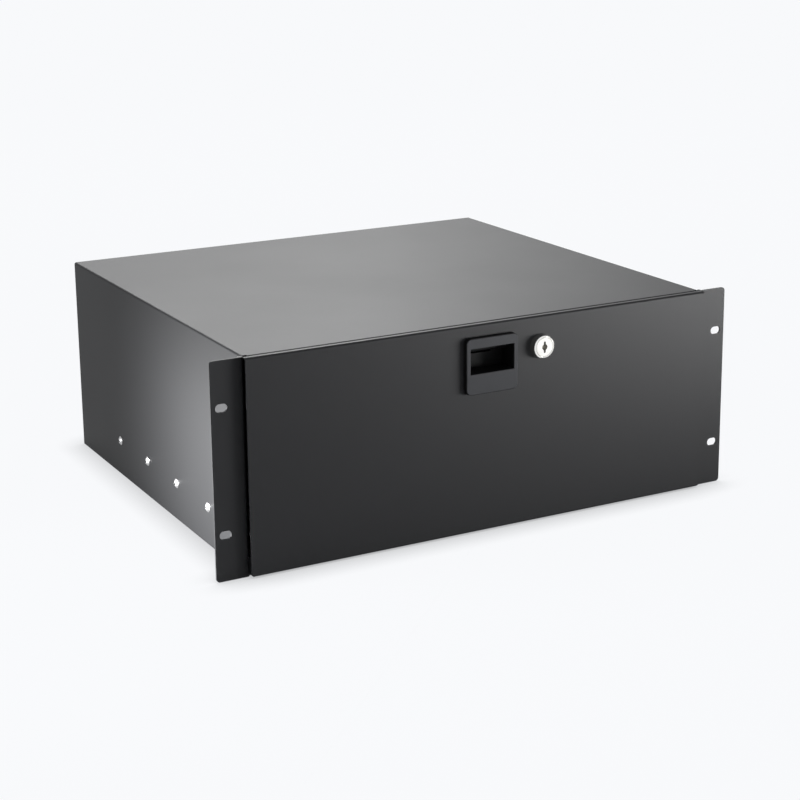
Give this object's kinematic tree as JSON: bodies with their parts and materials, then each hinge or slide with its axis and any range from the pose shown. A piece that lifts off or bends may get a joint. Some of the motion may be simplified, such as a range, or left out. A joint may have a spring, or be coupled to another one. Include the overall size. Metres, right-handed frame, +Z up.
{
  "type": "sliding rack drawer",
  "caption": "Black sheet-steel rack housing with slotted ears and a sliding drawer on ball-bearing slides, with a recessed finger latch and a cam lock in the front.",
  "frame": {"origin": "centre of the rack slot pattern, on the front faces of the ears", "axes": "+X to the right seen from the front, +Y towards the back, +Z up"},
  "size_m": [0.4826, 0.402, 0.1774],
  "materials": {
    "housing_paint": "satin, fine texture",
    "tray_paint": "satin, fine texture",
    "front_paint": "satin, fine texture",
    "slide_zinc": "bright zinc",
    "strike_zinc": "bright zinc",
    "fastener_zinc": "bright zinc",
    "rivet": "plain",
    "cage_steel": "plain",
    "ball_steel": "polished",
    "latch_plastic": "fine grain",
    "lever_plastic": "fine grain",
    "pin_steel": "plain",
    "spring_steel": "plain",
    "lock_chrome": "polished",
    "plug_chrome": "satin",
    "stop_rubber": "matt"
  },
  "bodies": {
    "housing": {"housing_wrap": "housing_paint", "bottom_pan": "housing_paint", "rear_panel": "housing_paint", "latch_strike": "strike_zinc", "tray_stops": "stop_rubber", "cabinet_rail_left": "slide_zinc", "cabinet_rail_right": "slide_zinc", "slide_rivets_left": "rivet", "slide_rivets_right": "rivet"},
    "drawer": {"drawer_tray": "tray_paint", "drawer_front": "front_paint", "front_studs": "fastener_zinc", "front_nuts": "fastener_zinc", "latch_body": "latch_plastic", "latch_pin": "pin_steel", "latch_spring": "spring_steel", "latch_screws": "fastener_zinc", "lock_body": "lock_chrome", "lock_washer": "fastener_zinc", "lock_nut": "fastener_zinc", "drawer_rail_left": "slide_zinc", "drawer_rail_right": "slide_zinc", "rail_screws_left": "fastener_zinc", "rail_screws_right": "fastener_zinc"},
    "lever": {"latch_lever": "lever_plastic"},
    "lock": {"lock_plug": "plug_chrome", "lock_cam": "fastener_zinc", "cam_nut": "fastener_zinc"},
    "middle_left": {"middle_rail_left": "slide_zinc"},
    "outer_cage_left": {"outer_cage_left": "cage_steel", "outer_balls_left": "ball_steel"},
    "inner_cage_left": {"inner_cage_left": "cage_steel", "inner_balls_left": "ball_steel"},
    "middle_right": {"middle_rail_right": "slide_zinc"},
    "outer_cage_right": {"outer_cage_right": "cage_steel", "outer_balls_right": "ball_steel"},
    "inner_cage_right": {"inner_cage_right": "cage_steel", "inner_balls_right": "ball_steel"}
  },
  "joints": [
    {"name": "drawer_slide", "type": "slide", "parent": "housing", "child": "drawer", "axis": [0, -1, 0], "range_m": [0, 0.35]},
    {"name": "middle_left_slide", "type": "slide", "parent": "housing", "child": "middle_left", "axis": [0, -1, 0], "range_m": [0, 0.175]},
    {"name": "outer_cage_left_slide", "type": "slide", "parent": "housing", "child": "outer_cage_left", "axis": [0, -1, 0], "range_m": [0, 0.0875]},
    {"name": "inner_cage_left_slide", "type": "slide", "parent": "housing", "child": "inner_cage_left", "axis": [0, -1, 0], "range_m": [0, 0.2625]},
    {"name": "middle_right_slide", "type": "slide", "parent": "housing", "child": "middle_right", "axis": [0, -1, 0], "range_m": [0, 0.175]},
    {"name": "outer_cage_right_slide", "type": "slide", "parent": "housing", "child": "outer_cage_right", "axis": [0, -1, 0], "range_m": [0, 0.0875]},
    {"name": "inner_cage_right_slide", "type": "slide", "parent": "housing", "child": "inner_cage_right", "axis": [0, -1, 0], "range_m": [0, 0.2625]},
    {"name": "latch_lever_turn", "type": "hinge", "parent": "drawer", "child": "lever", "pos_m": [0, 0.004, 0.0666], "axis": [1, 0, 0], "range_deg": [0, 27], "deforming": ["latch_spring"]},
    {"name": "lock_turn", "type": "hinge", "parent": "drawer", "child": "lock", "pos_m": [0.0488, 0, 0.0631], "axis": [0, -1, 0], "range_deg": [0, 90]}
  ],
  "couplings": [
    {"joint": "middle_left_slide", "follows": "drawer_slide", "ratio": 0.5},
    {"joint": "outer_cage_left_slide", "follows": "drawer_slide", "ratio": 0.25},
    {"joint": "inner_cage_left_slide", "follows": "drawer_slide", "ratio": 0.75},
    {"joint": "middle_right_slide", "follows": "drawer_slide", "ratio": 0.5},
    {"joint": "outer_cage_right_slide", "follows": "drawer_slide", "ratio": 0.25},
    {"joint": "inner_cage_right_slide", "follows": "drawer_slide", "ratio": 0.75}
  ]
}
